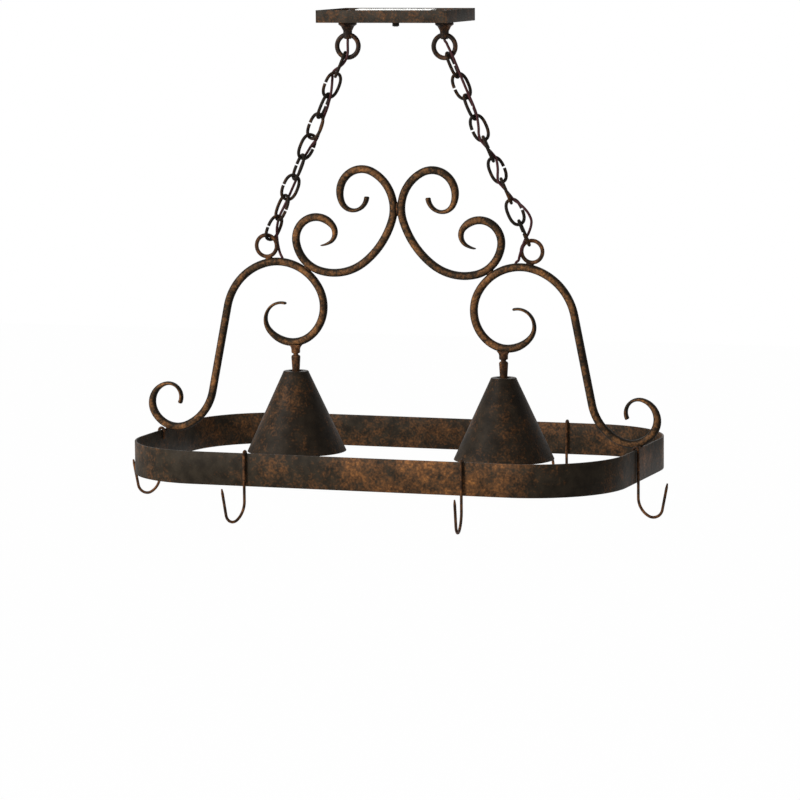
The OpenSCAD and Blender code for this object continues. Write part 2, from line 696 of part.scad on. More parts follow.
// A round tube along points [x, y, z], its rings square to the route
module wire_tube(pts, d, sides) {
    n = len(pts);
    function unit(v) = v / norm(v);
    function ahead(i) = unit(pts[min(i + 1, n - 1)] - pts[max(i - 1, 0)]);
    rings = [for (i = [0 : n - 1])
        let (t = ahead(i), u = unit(cross(t, [0.1, 1, 0.05])), v = cross(t, u))
        for (k = [0 : sides - 1])
        let (a = 360 * k / sides)
        pts[i] + d / 2 * (cos(a) * u + sin(a) * v)];
    walls = [for (i = [0 : n - 2]) for (k = [0 : sides - 1])
        let (a = i * sides + k, b = i * sides + (k + 1) % sides)
        each [[a, a + sides, b], [b, a + sides, b + sides]]];
    ends = [[for (k = [0 : sides - 1]) k], [for (k = [sides - 1 : -1 : 0]) (n - 1) * sides + k]];
    polyhedron(rings, concat(walls, ends), convexity = 10);
}

// A route point beside a chain, in the part's own frame
function beside_chain(side, p) = [
    side * loop_x + side * sin(chain_lean) * p[0] + cos(chain_lean) * p[1],
    p[2],
    loop_z - cos(chain_lean) * p[0] + side * sin(chain_lean) * p[1]];

module lamp_wire(side) {
    route = side < 0 ? left_route : right_route;
    first_turn = entry_turn + 4;
    inside = path(from_turn(first_turn), 180 + first_turn, bore_runs(first_turn, 0), 8);
    tube_pts = [for (p = inside) [side * p[0], 0, ring_z + p[1]]];
    pts = concat(
        [for (p = canopy_route) [side * p[0], p[1], p[2]]],
        [[side * loop_x, 0, -20], [side * loop_x, 0, -32], [side * loop_x, 0, neck_end_z - 0.5]],
        [for (p = route) beside_chain(side, p)],
        [[side * (entry[0] + 1), 0, ring_z + entry[1] + side_d / 2 + 1.5],
        [side * (entry[0] - 1), 0, ring_z + entry[1] + 3]],
        tube_pts,
        [[side * lamp_x, 0, ring_z + lamp_seat - side_d / 2], [side * lamp_x, 0, ring_z + ball_z + 0.05]]);
    color(wire_red)
    wire_tube(pts, wire_d, 8);
}

// Hooks -----------------------------------------------------------------------------------------

// Bent wire: its lip is on the -X side of the bar and its shank on the +X side; turn swings
// the curve about the shank
hook_lip = [[lip_l, 0], [bend_r, -180]];
hook_curve = [[hook_wide_r, hook_wide_sweep], [hook_tight_r, hook_tight_sweep], [hook_end_l, 0]];
module hook(turn) {
    lip = path([-bend_r, -bend_drop - lip_l], 90, hook_lip, 18);
    curve = path([0, 0], -90, hook_curve, 11);
    pts = concat(
        [for (p = lip) [p[0], 0, p[1]]],
        [for (p = curve) [bend_r + p[0] * cos(turn), p[0] * sin(turn), shank_end + p[1]]]);
    color(copper)
    at_ring() wire_tube(pts, hook_d, 8);
}

module front_hook(x, turn) {
    translate([x, -ring_w / 2 + ring_t / 2, 0]) rotate([0, 0, -90]) hook(turn);
}
module back_hook(x, turn) {
    translate([x, ring_w / 2 - ring_t / 2, 0]) rotate([0, 0, -90]) hook(turn);
}
module end_hook(side, y, turn) {
    translate([side * (ring_l / 2 - ring_t / 2), y, 0]) rotate([0, 0, side < 0 ? 180 : 0]) hook(turn);
}

mounting_strap();
canopy();
support_bar();
centre_stud();
centre_nut();
loop_nuts();
wire_connectors();
ceiling_loop(-1);  // left_loop
ceiling_loop(1);  // right_loop
for (i = [0 : link_count - 1]) {
    chain_link(-1, i);
    chain_link(1, i);
}
lamp_wire(-1);  // left_lamp_wire
lamp_wire(1);  // right_lamp_wire
ring_band();
side_scroll(-1);  // left_side_scroll
side_scroll(1);  // right_side_scroll
top_scroll(-1);  // left_top_scroll
top_scroll(1);  // right_top_scroll
frame_eye(-1);  // left_eye
frame_eye(1);  // right_eye
collar(-1);  // left_collar
collar(1);  // right_collar
swivel_liner(-1);  // left_swivel_liner
swivel_liner(1);  // right_swivel_liner
stem(-1);  // left_stem
stem(1);  // right_stem
shade(-1);  // left_shade
shade(1);  // right_shade
socket(-1);  // left_socket
socket(1);  // right_socket
bulb(-1);  // left_bulb
bulb(1);  // right_bulb
stem_wire(-1);  // left_stem_wire
stem_wire(1);  // right_stem_wire
front_hook(front_left_x, -26);  // front_left_hook
front_hook(front_right_x, 6);  // front_right_hook
back_hook(back_left_x, -10);  // back_left_hook
back_hook(back_right_x, -12);  // back_right_hook
end_hook(-1, left_end_y, 0);  // left_end_hook
end_hook(1, right_end_y, 0);  // right_end_hook
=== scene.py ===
# %% [markdown]
# # A lighted hanging pot rack
# The rack is a rounded ring of flat bar. Forged scrolls stand on it, two chains carry the
# scrolls, and the chains hang from a canopy on the ceiling. Two cone downlights hang inside.
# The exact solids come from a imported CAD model, the frame. This script gives them their
# finish, and makes again in mesh what a forge or a hand has bent: scrolls, links, hooks, wires.

# %% Load the frame
import math
import bmesh
import bpy
from mathutils import Matrix, Vector, noise


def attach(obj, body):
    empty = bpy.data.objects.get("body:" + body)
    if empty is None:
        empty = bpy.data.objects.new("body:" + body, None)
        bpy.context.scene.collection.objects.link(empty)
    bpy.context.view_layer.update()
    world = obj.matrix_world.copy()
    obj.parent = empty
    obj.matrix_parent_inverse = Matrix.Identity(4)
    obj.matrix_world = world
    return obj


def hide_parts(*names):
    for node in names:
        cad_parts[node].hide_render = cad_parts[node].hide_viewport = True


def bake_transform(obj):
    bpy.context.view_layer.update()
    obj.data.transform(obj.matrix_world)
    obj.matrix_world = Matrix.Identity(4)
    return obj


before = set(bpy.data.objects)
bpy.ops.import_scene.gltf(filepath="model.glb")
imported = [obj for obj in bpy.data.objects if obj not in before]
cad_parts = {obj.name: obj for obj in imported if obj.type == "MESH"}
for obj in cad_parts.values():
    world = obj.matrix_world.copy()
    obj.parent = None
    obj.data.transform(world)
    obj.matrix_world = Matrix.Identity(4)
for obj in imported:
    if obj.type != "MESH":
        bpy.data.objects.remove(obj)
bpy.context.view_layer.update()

# %% [markdown]
# ## Shader maths as Python
# A finish mixes many small patterns. Wiring each node by hand hides the idea, so `Pattern`
# wraps one socket and lets `a * b + 0.2` add the Math nodes. Colours are mixed with the Mix
# node, because a Math node would turn them grey.

# %% A pattern is one output that can be calculated with
class Pattern:
    def __init__(self, finish, socket):
        self.finish = finish
        self.socket = socket

    def math(self, operation, *others):
        values = dict(enumerate((self,) + others))
        return self.finish.add("ShaderNodeMath", values, operation=operation)

    def __add__(self, other): return self.math("ADD", other)
    def __radd__(self, other): return self.math("ADD", other)
    def __sub__(self, other): return self.math("SUBTRACT", other)
    def __rsub__(self, other): return (self * -1.0).math("ADD", other)
    def __mul__(self, other): return self.math("MULTIPLY", other)
    def __rmul__(self, other): return self.math("MULTIPLY", other)

    def between(self, low, high):
        """0 below low, 1 above high, smooth between."""
        limits = {"Value": self, "From Min": low, "From Max": high}
        return self.finish.add("ShaderNodeMapRange", limits, interpolation_type="SMOOTHSTEP")


# %% [markdown]
# A finish is one material: a Principled surface, and the patterns that make its colour, gloss
# and bumps change from place to place. The patterns are read in the object's own coordinates,
# in metres, so a speck is as large on a hook as on the ring, and no piece needs a map.

# %% A finish is a material that is written as expressions
class Finish:
    def __init__(self, name, roughness=0.5, metallic=0.0, specular=0.5):
        self.material = bpy.data.materials.new(name)
        self.material.use_nodes = True
        self.nodes = self.material.node_tree.nodes
        self.links = self.material.node_tree.links
        self.nodes.clear()
        self.surface = self.nodes.new("ShaderNodeBsdfPrincipled")
        self.output = self.nodes.new("ShaderNodeOutputMaterial")
        self.links.new(self.surface.outputs[0], self.output.inputs["Surface"])
        self.surface.inputs["Roughness"].default_value = roughness
        self.surface.inputs["Metallic"].default_value = metallic
        self.surface.inputs["Specular IOR Level"].default_value = specular
        self.place = self.add("ShaderNodeTexCoord", {}, output="Object")

    def add(self, kind, values, output=0, **settings):
        """Adds one node: its settings first, then the values or links of its sockets."""
        node = self.nodes.new(kind)
        for key, value in settings.items():
            setattr(node, key, value)
        for key, value in values.items():
            if isinstance(value, Pattern):
                self.links.new(value.socket, node.inputs[key])
            else:
                node.inputs[key].default_value = value
        return Pattern(self, node.outputs[output])

    def axis(self, name):
        """How far along X, Y or Z a point lies."""
        return self.add("ShaderNodeSeparateXYZ", {"Vector": self.place}, output=name)

    def grain(self, size, detail, seed):
        """Noise whose spots are about size metres across."""
        moved = self.add("ShaderNodeMapping", {"Vector": self.place,
                                               "Location": (seed, seed * 0.7, seed * 1.3)})
        return self.add("ShaderNodeTexNoise",
                        {"Vector": moved, "Scale": 1 / size, "Detail": detail})

    def blend(self, factor, first, second):
        """First where the factor is 0, second where it is 1. Sockets 6 and 7 take colours."""
        values = {0: factor, 6: first, 7: second}
        return self.add("ShaderNodeMix", values, output=2, data_type="RGBA")

    def wear(self, **values):
        """Feeds what changes over the surface: Base Color, Roughness, Metallic or Normal."""
        for key, value in values.items():
            self.links.new(value.socket, self.surface.inputs[key.replace("_", " ")])

    def bumps(self, height, depth):
        """Tilts the surface as if the height pattern stood out by depth metres."""
        bump = self.add("ShaderNodeBump", {"Height": height, "Distance": depth, "Strength": 1.0})
        self.wear(Normal=bump)


def colour(red, green, blue):
    """A linear colour, opaque."""
    return (red, green, blue, 1.0)


def times(shade, factor):
    """The same colour, brighter or darker."""
    return colour(*[min(1.0, part * factor) for part in shade[:3]])


# %% [markdown]
# ## The antique bronze
# The real finish is a dark brown paint, dabbed with copper while it is wet. Close up it is
# a cloud of fine specks, thick in some places and nearly gone in others. An image of it would
# need seams and a map for every piece, so the specks are two grains of noise: a wide drift
# says where they gather, and a fine one makes the specks themselves.

# %% How the bronze is specked
# Sizes of the noise in metres, and how much each grain says about where the copper lies
DAB, SPECK, SOOT = 0.011, 0.0034, 0.016
DRIFT_SAYS, DAB_SAYS, SPECK_SAYS = 1.9, 1.3, 2.0
# How deep the paint's grain is, in metres
BUMP_DEPTH = 0.0005
BROWN = colour(0.0125, 0.0092, 0.0058)
COPPER = colour(0.155, 0.066, 0.024)
WARM_COPPER = colour(0.21, 0.085, 0.030)
FRESH_COPPER = colour(0.34, 0.14, 0.040)


def speckled(name, dark, copper, gather, seed, roughness=0.5, metallic=0.07, drift_size=0.06,
             crest_highlight_and_shade=0.0, heap=0.0):
    """Brown with copper specks. On crests, more copper is painted as a highlight on what faces
    front and back, with painted shade on the sides; a heap gathers the copper in front, right of the
    middle."""
    finish = Finish(name, roughness=roughness, metallic=metallic, specular=0.06)
    drift = finish.grain(drift_size, detail=2.0, seed=seed)
    dabs = finish.grain(DAB, detail=4.0, seed=seed + 3.0)
    specks = finish.grain(SPECK, detail=3.0, seed=seed + 5.0)
    cover = ((drift - 0.5) * DRIFT_SAYS + (dabs - 0.5) * DAB_SAYS + (specks - 0.5) * SPECK_SAYS
             + gather)
    tone_and_side_shade = finish.grain(SOOT, detail=4.0, seed=seed + 8.0).between(0.3, 0.7)
    # Painted highlight and painted shade: faces turned front or back get more copper, a highlight
    # line along the bars' crests, and their sides get a darker brown, as a round bar turns from the
    # light.
    if crest_highlight_and_shade:
        normal = finish.add("ShaderNodeTexCoord", {}, output="Normal")
        facing = finish.add("ShaderNodeSeparateXYZ", {"Vector": normal}, output="Y")
        rubbed = facing.math("ABSOLUTE").between(0.45, 1.0)
        cover = cover + crest_highlight_and_shade * (rubbed - 0.6)
        tone_and_side_shade = tone_and_side_shade * (0.2 + 0.8 * rubbed)
    if heap:
        across = finish.axis("X")
        heaped = across.between(-0.20, 0.14) * (1.0 - across.between(0.16, 0.38))
        in_front = 1.0 - finish.axis("Y").between(-0.20, 0.0)
        cover = cover + heap * (heaped - 0.45) * in_front
    copper_mask = cover.between(0.0, 1.5)
    # The ground is dark brown in a random tone, and on the scrolls also painted shade on the sides.
    ground = finish.blend(tone_and_side_shade, dark, times(dark, 2.0))
    rubbed_through = finish.blend(cover.between(0.8, 1.8), copper, FRESH_COPPER)
    finish.wear(Base_Color=finish.blend(copper_mask, ground, rubbed_through),
                Roughness=roughness + 0.12 * specks - 0.1 * copper_mask)
    finish.bumps(specks * 0.5 + dabs, BUMP_DEPTH)
    return finish.material


# %% [markdown]
# The pieces weren't painted alike. The ring has its copper in one broad cloud, the scrolls
# carry copper along their crests as a painted highlight, with painted shade on their sides,
# the shades and links are nearly plain brown, and what rubs on other metal, the hooks and eyes,
# shows the most copper.

# %% The seven bronzes
band_bronze = speckled("Speckled bronze of the ring", colour(0.0145, 0.0110, 0.0072), COPPER,
                       0.32, 71.0, heap=0.75)
# The scrolls get a painted highlight of copper along their crests and painted shade on their sides.
scroll_bronze = speckled("Speckled bronze of the scrolls", BROWN, colour(0.21, 0.095, 0.035),
                         0.26, 11.0, roughness=0.56, drift_size=0.03, crest_highlight_and_shade=0.9)
shade_bronze = speckled("Speckled bronze of the shades", colour(0.0120, 0.0088, 0.0058), COPPER,
                        0.10, 21.0)
canopy_bronze = speckled("Speckled bronze of the canopy", colour(0.0170, 0.0140, 0.0105), COPPER,
                         0.16, 31.0)
link_bronze = speckled("Near-black bronze of the links", colour(0.008, 0.006, 0.0045), COPPER,
                       0.12, 41.0)
copper_bronze = speckled("Rubbed bronze of hooks and eyes", colour(0.020, 0.011, 0.0065),
                         WARM_COPPER, 0.34, 51.0, drift_size=0.015, metallic=0.3)
loop_bronze = speckled("Dark rubbed bronze of the ceiling loops", colour(0.014, 0.010, 0.008),
                       WARM_COPPER, 0.12, 61.0, roughness=0.4, drift_size=0.02, metallic=0.3)
print("bronze finishes: 7")

# %% [markdown]
# ## The quiet finishes
# Zinc, porcelain, frosted glass, nylon, wire and the plastic connectors hide under the canopy
# or inside the shades. Each still has the small unevenness of its own making.

# %% Zinc, porcelain, glass, wire and plastics
FAINT_BUMP = 0.0001


def even(name, shade, roughness, metallic=0.0, size=0.004, spread=0.12, specular=0.5):
    """A plain finish with a faint cloud in its colour and its gloss."""
    finish = Finish(name, roughness=roughness, metallic=metallic, specular=specular)
    cloud = finish.grain(size, detail=3.0, seed=len(name))
    finish.wear(Base_Color=finish.blend(cloud, times(shade, 1 - spread), times(shade, 1 + spread)),
                Roughness=roughness + 0.1 * (cloud - 0.5))
    finish.bumps(cloud, FAINT_BUMP)
    return finish.material


zinc = even("Zinc plate", colour(0.52, 0.52, 0.50), 0.38, metallic=0.9, size=0.006)
porcelain = even("Glazed porcelain", colour(0.80, 0.78, 0.72), 0.18, spread=0.03)
frosted = even("Frosted lamp glass", colour(0.86, 0.86, 0.82), 0.34, size=0.02, spread=0.02)
maroon = even("Maroon wire sleeve", colour(0.042, 0.010, 0.011), 0.55, size=0.003, specular=0.15)
nylon = even("White nylon", colour(0.72, 0.71, 0.66), 0.5, spread=0.04)
grey_plastic = even("Grey connector plastic", colour(0.22, 0.22, 0.24), 0.45, spread=0.06)
print("quiet finishes: 6")

# %% [markdown]
# ## Routes
# A smith draws a scroll as arcs that run into each other, each with its own radius. The same
# list of runs makes the route here: a radius and a sweep for an arc, a length and 0 for a
# straight. All heights are counted from the ring's top edge, in metres.

# %% Arcs and straights become points
def turned(point, heading, run):
    """Where one run ends. A sweep of 0 is a straight."""
    size, sweep = run
    if sweep == 0:
        return (point[0] + size * math.cos(heading), point[1] + size * math.sin(heading))
    end, reach = heading + math.radians(sweep), math.copysign(size, sweep)
    return (point[0] + reach * (math.sin(end) - math.sin(heading)),
            point[1] + reach * (math.cos(heading) - math.cos(end)))


def route(point, heading, runs, step=3.0):
    """Points along the runs, and the point and heading at the end of each run."""
    heading = math.radians(heading)
    points, joints = [tuple(point)], [(tuple(point), heading)]
    for size, sweep in runs:
        count = 6 if sweep == 0 else math.ceil(abs(sweep) / step)
        for k in range(1, count + 1):
            part = (size * k / count, 0) if sweep == 0 else (size, sweep * k / count)
            points.append(turned(point, heading, part))
        point, heading = points[-1], heading + math.radians(sweep)
        joints.append((point, heading))
    return points, joints


def middle_of(joint, run):
    """The centre of the arc that starts at this joint."""
    (x, z), heading = joint
    reach = math.copysign(run[0], run[1])
    return x - reach * math.sin(heading), z + reach * math.cos(heading)


# %% [markdown]
# The sizes below are the CAD model's own: where the ring, the eyes and the ceiling loops are,
# how far the chains lean, and the runs of each scroll, from its highest point both ways.

# %% The rack's own sizes, in metres
RING_Z = -0.672354
LOOP_X, LOOP_Z = 0.080, -0.0577
EYE_X, EYE_Z = 0.220933, -0.373916
CHAIN_LEAN = math.radians(24.0218)
SIDE_TOP = (0.201921, 0.273666)
WELD = (0.0064, 0.361208)
SIDE_IN = [(0.079, 61), (0.060, 82.5), (0.050, 87), (0.027, 146)]
SIDE_OUT = [(0.079, -14.5), (0.0925, -64), (0.140, 0), (0.078, 54.5), (0.044, 84.5), (0.032, 106),
            (0.021, 133)]
TOP_UP = [(0.064, -63), (0.0375, -141), (0.021, -87), (0.0235, -66)]
TOP_DOWN = [(0.064, 18), (0.136, 34.5), (0.086, 52), (0.055, 66), (0.035, 150), (0.018, 100),
            (0.040, 22)]
SIDE_D, TOP_D, HOOK_D, LINK_D, WIRE_D = 0.0127, 0.0127, 0.0045, 0.0052, 0.0042
ARCH_R = SIDE_IN[0][0]
ARCH = (SIDE_TOP[0], SIDE_TOP[1] - ARCH_R)
print("ring top at", RING_Z, "eye at", EYE_X, EYE_Z)

# %% [markdown]
# ## Bar along a route
# Scrolls, hooks and wires are all a bar that follows a route, so one Geometry Nodes tree
# makes them all: the route's edges become a curve, a circle is swept along it, and each
# point says how thick the bar is there and how flat. A smith thins a scroll's tip in the
# plane of the curl and leaves its width, which is why the two are kept apart.

# %% A small helper for Geometry Nodes trees
class Tree:
    def __init__(self, name, inputs):
        self.tree = bpy.data.node_groups.new(name, "GeometryNodeTree")
        face = self.tree.interface
        face.new_socket("Geometry", in_out="INPUT", socket_type="NodeSocketGeometry")
        for label, kind in inputs.items():
            face.new_socket(label, in_out="INPUT", socket_type="NodeSocket" + kind)
        face.new_socket("Geometry", in_out="OUTPUT", socket_type="NodeSocketGeometry")
        self.inputs = self.tree.nodes.new("NodeGroupInput").outputs
        self.end = self.tree.nodes.new("NodeGroupOutput")

    def add(self, kind, values, output=0, **settings):
        node = self.tree.nodes.new("GeometryNode" + kind if not kind.startswith("Shader") else kind)
        for key, value in settings.items():
            setattr(node, key, value)
        for key, value in values.items():
            if isinstance(value, bpy.types.NodeSocket):
                self.tree.links.new(value, node.inputs[key])
            else:
                node.inputs[key].default_value = value
        return node.outputs[output]

    def number(self, name):
        """A number that each point of the route carries."""
        return self.add("InputNamedAttribute", {"Name": name}, data_type="FLOAT",
                        output="Attribute")

    def finish(self, geometry):
        """Smooths and paints the geometry and hands it out."""
        solid = self.add("RealizeInstances", {"Geometry": geometry})
        smooth = self.add("SetShadeSmooth", {"Geometry": solid, "Shade Smooth": True})
        painted = self.add("SetMaterial", {"Geometry": smooth, "Material": self.inputs["Material"]})
        self.tree.links.new(painted, self.end.inputs[0])
        return self.tree


# %% [markdown]
# Flattening takes one Math node: it multiplies each point's Y by the "flat" number of the
# route there. It works because the scrolls lie in the XZ plane. Hooks and wires keep 1, so
# they stay round.

# %% The tree that sweeps a bar
def bar_tree():
    bar = Tree("Bar along a route", {"Sides": "Int", "Material": "Material"})
    curve = bar.add("MeshToCurve", {"Mesh": bar.inputs["Geometry"]})
    curve = bar.add("SetCurveRadius", {"Curve": curve, "Radius": bar.number("thick")})
    section = bar.add("CurvePrimitiveCircle", {"Resolution": bar.inputs["Sides"], "Radius": 1.0},
                      mode="RADIUS")
    swept = bar.tree.nodes.new("GeometryNodeCurveToMesh")
    bar.tree.links.new(curve, swept.inputs["Curve"])
    bar.tree.links.new(section, swept.inputs["Profile Curve"])
    swept.inputs["Fill Caps"].default_value = True
    if "Scale" in swept.inputs:
        bar.tree.links.new(bar.number("thick"), swept.inputs["Scale"])
    place = bar.add("InputPosition", {})
    axes = bar.tree.nodes.new("ShaderNodeSeparateXYZ")
    bar.tree.links.new(place, axes.inputs[0])
    wide = bar.add("ShaderNodeMath", {0: axes.outputs["Y"], 1: bar.number("flat")},
                   operation="MULTIPLY")
    moved = bar.add("ShaderNodeCombineXYZ", {"X": axes.outputs["X"], "Y": wide,
                                             "Z": axes.outputs["Z"]})
    shaped = bar.add("SetPosition", {"Geometry": swept.outputs["Mesh"], "Position": moved})
    return bar.finish(shaped)


BAR = bar_tree()


def use_tree(shape, tree, **values):
    """Runs a tree on an object and keeps the result as a plain mesh at the origin."""
    modifier = shape.modifiers.new(tree.name, "NODES")
    modifier.node_group = tree
    for socket in tree.interface.items_tree:
        if socket.in_out == "INPUT" and socket.name.replace(" ", "_") in values:
            modifier[socket.identifier] = values[socket.name.replace(" ", "_")]
    shape.update_tag()
    bpy.context.view_layer.update()
    seen = shape.evaluated_get(bpy.context.evaluated_depsgraph_get())
    made = bpy.data.meshes.new_from_object(seen)
    made.name = shape.name
    shape.modifiers.remove(modifier)
    shape.data = made
    return shape


def bar(name, points, radii, material, sides=16, flats=None):
    """A bar through 3D points with a radius at each."""
    line = bpy.data.meshes.new(name)
    line.from_pydata(points, [(i, i + 1) for i in range(len(points) - 1)], [])
    thick = line.attributes.new("thick", "FLOAT", "POINT")
    thick.data.foreach_set("value", radii)
    flat = line.attributes.new("flat", "FLOAT", "POINT")
    flat.data.foreach_set("value", flats or [1.0] * len(points))
    piece = bpy.data.objects.new(name, line)
    bpy.context.scene.collection.objects.link(piece)
    return use_tree(piece, BAR, Sides=sides, Material=material)


def distances(points):
    """How far along the route each point is."""
    total = [0.0]
    for a, b in zip(points, points[1:]):
        total.append(total[-1] + math.dist(a, b))
    return total


# %% [markdown]
# ## The scrolls
# Each side scroll is a steel tube: an arch, a loop that curls inwards over the downlight, and
# a long leg down to a curled foot on the ring. Each top scroll is a solid bar, welded to its
# twin on the middle line. A mirrored copy would turn its faces inside out, so the left
# scrolls are swept along a mirrored route instead.

# %% How the ends are forged
TIP_L = 0.105
# Thickness at the tip, thickness further in, how far in that is, and where the full bar starts
INNER_END = (0.0045, 0.35 * SIDE_D, 0.030, TIP_L)
FOOT_END = (0.0070, 0.40 * SIDE_D, 0.028, TIP_L)
UPPER_END = (0.0085, 0.48 * TOP_D, 0.025, 0.85 * TIP_L)
LOWER_END = (0.0024, 0.72 * TOP_D, 0.036, 0.60 * TIP_L)
# A tip keeps this share of the bar's width, and its edge is rounded over this length
TIP_WIDTH, TIP_ROUND = 0.86, 0.0012


def forged(thickness, end, run):
    """Thickness of a bar at a distance from its forged end."""
    tip, waist, waist_at, start = end
    if run < waist_at:
        return tip + (waist - tip) * run / waist_at
    t = min(1.0, (run - waist_at) / (start - waist_at))
    return waist + (thickness - waist) * t * t * (3 - 2 * t)


# %% Sweep the four scrolls
def scroll(name, side, start, first, first_heading, second, second_heading, thickness, ends):
    there = route(start, first_heading, first)[0]
    back = route(start, second_heading, second)[0]
    flat_points = list(reversed(there)) + back[1:]
    along = distances(flat_points)
    points, radii, flats = [], [], []
    for (x, z), run in zip(flat_points, along):
        left, end = min((run, ends[0]), (along[-1] - run, ends[1]))
        thick = forged(thickness, end, left) / 2
        near = min(1.0, left / TIP_ROUND)
        crown = 0.7 + 0.3 * math.sqrt(1 - (1 - near) ** 2)
        wide = thickness / 2 * (TIP_WIDTH + (1 - TIP_WIDTH) * min(1.0, left / TIP_L))
        points.append((side * x, 0.0, RING_Z + z))
        radii.append(thick * crown)
        flats.append(wide / thick)
    piece = bar(name + "_bar", points, radii, scroll_bronze, sides=24, flats=flats)
    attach(piece, "frame")
    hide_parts(name)


for side, word in ((-1, "left"), (1, "right")):
    scroll(f"{word}_side_scroll", side, SIDE_TOP, SIDE_IN, 180, SIDE_OUT, 0, SIDE_D,
           (INNER_END, FOOT_END))
    scroll(f"{word}_top_scroll", side, WELD, TOP_UP, 90, TOP_DOWN, -90, TOP_D,
           (UPPER_END, LOWER_END))
print("scrolls: 4")

# %% [markdown]
# ## The chains
# A link is wire bent to an oval with an open joint in its side. One tree makes a link and
# puts it on each point of a list, turned as that link hangs. Every link has its own turn,
# because real chain never hangs in perfect quarter turns. The first and the last link of a
# chain are bodies of their own, so each gets its own mesh.

# %% The tree that makes a link and hangs it on points
def chain_tree():
    chain = Tree("Links on points", {"Half Width": "Float", "Half Length": "Float",
                                     "Squareness": "Float", "Joint": "Float", "Wire": "Float",
                                     "Material": "Material"})

    def maths(operation, a, b=0.0):
        return chain.add("ShaderNodeMath", {0: a, 1: b}, operation=operation)

    line = chain.add("CurvePrimitiveLine", {"Start": (0, 0, 0), "End": (1, 0, 0)})
    line = chain.add("ResampleCurve", {"Curve": line, "Count": 72})
    share = chain.add("SplineParameter", {}, output="Factor")
    half_gap = maths("DIVIDE", chain.inputs["Joint"], chain.inputs["Half Length"])
    bent = maths("SUBTRACT", math.tau, maths("MULTIPLY", half_gap, 2.0))
    angle = maths("ADD", half_gap, maths("MULTIPLY", share, bent))

    def squared(wave, half):
        turn = maths(wave, angle)
        size = maths("POWER", maths("ABSOLUTE", turn), chain.inputs["Squareness"])
        return maths("MULTIPLY", maths("MULTIPLY", maths("SIGN", turn), size), half)

    spot = chain.add("ShaderNodeCombineXYZ", {"X": squared("COSINE", chain.inputs["Half Width"]),
                                              "Z": squared("SINE", chain.inputs["Half Length"])})
    oval = chain.add("SetPosition", {"Geometry": line, "Position": spot})
    oval = chain.add("ResampleCurve", {"Curve": oval, "Count": 64})
    ring = chain.add("CurvePrimitiveCircle", {"Resolution": 12, "Radius": chain.inputs["Wire"]},
                     mode="RADIUS")
    link = chain.add("CurveToMesh", {"Curve": oval, "Profile Curve": ring, "Fill Caps": True})
    turn = chain.add("InputNamedAttribute", {"Name": "turn"}, data_type="FLOAT_VECTOR",
                     output="Attribute")
    hung = chain.add("InstanceOnPoints", {"Points": chain.inputs["Geometry"], "Instance": link,
                                          "Rotation": turn})
    return chain.finish(hung)


LINKS = chain_tree()

# %% [markdown]
# The links hang at equal steps along the chain's line. The turns below were read from the
# photograph link by link, in degrees about the chain. The second table says on which side each
# link's open joint lies.

# %% Where each link hangs
TURNS = {"left": [108, 35, 88, -15, 45, -50, 20, -35, 55],
         "right": [90, 25, 85, 20, 105, 25, 108, 20, 105]}
JOINTS = {"left": [1, -1, 1, -1, 1, -1, -1, 1, -1], "right": [1, -1, 1, -1, 1, 1, 1, 1, -1]}
FIRST_LINK, LINK_PITCH = 0.03155, 0.0354
# Half a link's width and length, to the middle of its wire
LINK_HALF_W, LINK_HALF_L = 0.0114, 0.02045


def on_chain(side, along, aside=0.0, back=0.0):
    """A point beside a chain: along it, towards +X, and backwards."""
    lean = side * CHAIN_LEAN
    return (side * LOOP_X + math.sin(lean) * along + math.cos(lean) * aside, back,
            LOOP_Z - math.cos(lean) * along + math.sin(lean) * aside)


# %% Hang the links
def hang_links(name, side, word, numbers, body):
    places = [on_chain(side, FIRST_LINK + i * LINK_PITCH) for i in numbers]
    spots = bpy.data.meshes.new(name)
    spots.from_pydata(places, [], [])
    turns = spots.attributes.new("turn", "FLOAT_VECTOR", "POINT")
    for k, i in enumerate(numbers):
        flip = 0 if JOINTS[word][i] > 0 else 180
        lean = Matrix.Rotation(-side * CHAIN_LEAN, 3, "Y")
        roll = Matrix.Rotation(math.radians(TURNS[word][i] + flip), 3, "Z")
        turns.data[k].vector = (lean @ roll).to_euler("XYZ")
    piece = bpy.data.objects.new(name, spots)
    bpy.context.scene.collection.objects.link(piece)
    use_tree(piece, LINKS, Half_Width=LINK_HALF_W, Half_Length=LINK_HALF_L, Squareness=0.82,
             Joint=0.0008, Wire=LINK_D / 2, Material=link_bronze)
    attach(piece, body)
    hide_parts(*[f"{word}_link_{i + 1}" for i in numbers])


for side, word in ((-1, "left"), (1, "right")):
    hang_links(f"{word}_top_link_wire", side, word, [0], f"{word}_top_link")
    hang_links(f"{word}_chain_links", side, word, list(range(1, 8)), f"{word}_chain")
    hang_links(f"{word}_end_link_wire", side, word, [8], f"{word}_end_link")
print("links: 18")

# %% [markdown]
# ## The hooks
# A hook is one wire with no weld: a lip behind the bar, a tight bend over its top edge, a
# long shank and a pointed bowl with a rising end. It only hangs on the ring, so it can slide.

# %% Bend the six hooks
RING_T, RING_L, RING_W = 0.003, 0.800, 0.480
# The bend clears the bar by 0.4 mm on each side, and the bar's two top corners by 0.1 mm
BEND_R = RING_T / 2 + 0.0004 + HOOK_D / 2
BEND_DROP = math.sqrt((BEND_R - HOOK_D / 2 - 0.0001) ** 2 - RING_T ** 2 / 4)
LIP_L, HOOK_H, WIDE_R, TIGHT_R, END_L = 0.014, 0.111, 0.032, 0.015, 0.042
WIDE_SWEEP, TIGHT_SWEEP = 60, 109
HOOK_BOTTOM = (WIDE_R - TIGHT_R) * math.sin(math.radians(WIDE_SWEEP)) + TIGHT_R
SHANK_END = BEND_R + HOOK_D / 2 - BEND_DROP - HOOK_H + HOOK_D / 2 + HOOK_BOTTOM
